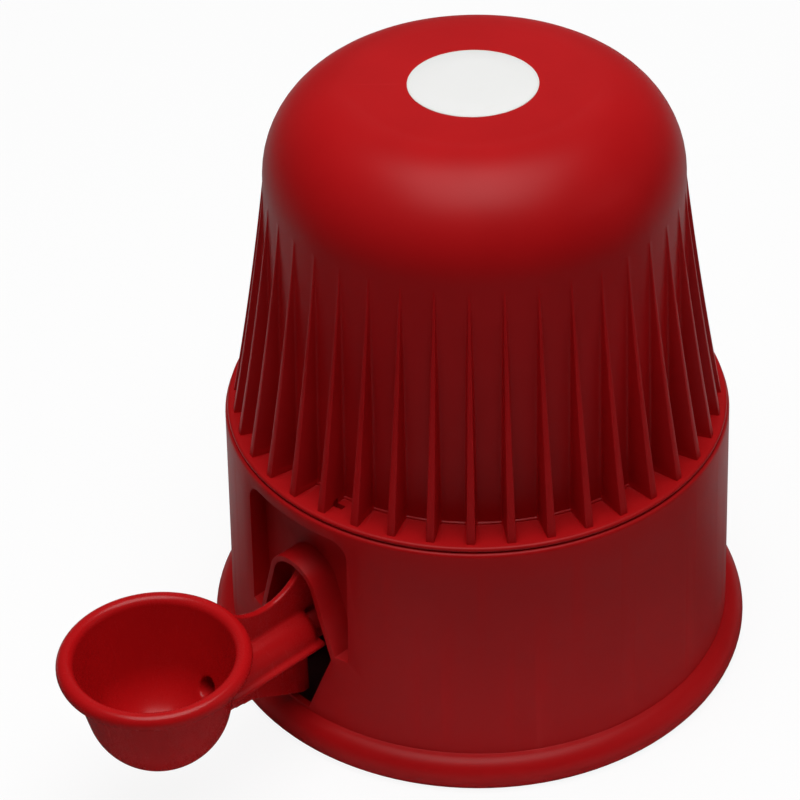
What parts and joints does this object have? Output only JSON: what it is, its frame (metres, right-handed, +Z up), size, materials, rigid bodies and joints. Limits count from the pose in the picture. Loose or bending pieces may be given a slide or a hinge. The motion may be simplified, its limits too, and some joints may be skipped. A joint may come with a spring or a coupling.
{
  "type": "poultry drinking fountain",
  "caption": "Gravity-fed drinker: a finned lift-off tank on a round base feeds one round cup on an arm through an arched side opening.",
  "frame": {"origin": "centre of the foot ring, on the ground", "axes": "+Z up along the tank's axis; the drinking cup reaches towards -Y"},
  "size_m": [0.2318, 0.3319, 0.2663],
  "materials": {
    "base_plastic": "satin",
    "tank_plastic": "satin",
    "cup_plastic": "satin",
    "well_plastic": "satin",
    "valve_plastic": "satin",
    "seal_rubber": "matte",
    "screw_steel": "satin",
    "spring_steel": "satin",
    "label_film": "gloss"
  },
  "bodies": {
    "base": {"base_skirt": "base_plastic", "water_well": "well_plastic", "well_screws": "screw_steel", "outlet_seal": "seal_rubber"},
    "tank": {"reservoir_shell": "tank_plastic", "reservoir_floor": "well_plastic", "label_disc": "label_film"},
    "cap": {"valve_cap": "well_plastic", "cap_gasket": "seal_rubber", "valve_guide": "valve_plastic", "valve_spring": "spring_steel"},
    "valve": {"valve_stem": "valve_plastic", "valve_disc": "seal_rubber", "disc_clip": "spring_steel"},
    "cup": {"drinking_cup": "cup_plastic"}
  },
  "joints": [
    {"name": "tank_lift", "type": "slide", "parent": "base", "child": "tank", "axis": [0, 0, 1], "range_m": [0, 0.12]},
    {"name": "cap_turn", "type": "hinge", "parent": "tank", "child": "cap", "pos_m": [0, 0, 0.08], "axis": [0, 0, 1], "range_deg": [0, 60]},
    {"name": "valve_slide", "type": "slide", "parent": "cap", "child": "valve", "axis": [0, 0, 1], "range_m": [-0.004, 0], "deforming": ["valve_spring"]},
    {"name": "cup_pull", "type": "slide", "parent": "base", "child": "cup", "axis": [0, -1, 0], "range_m": [0, 0.05]}
  ],
  "couplings": [
    {"joint": "valve_slide", "follows": "tank_lift", "ratio": -0.033333}
  ]
}
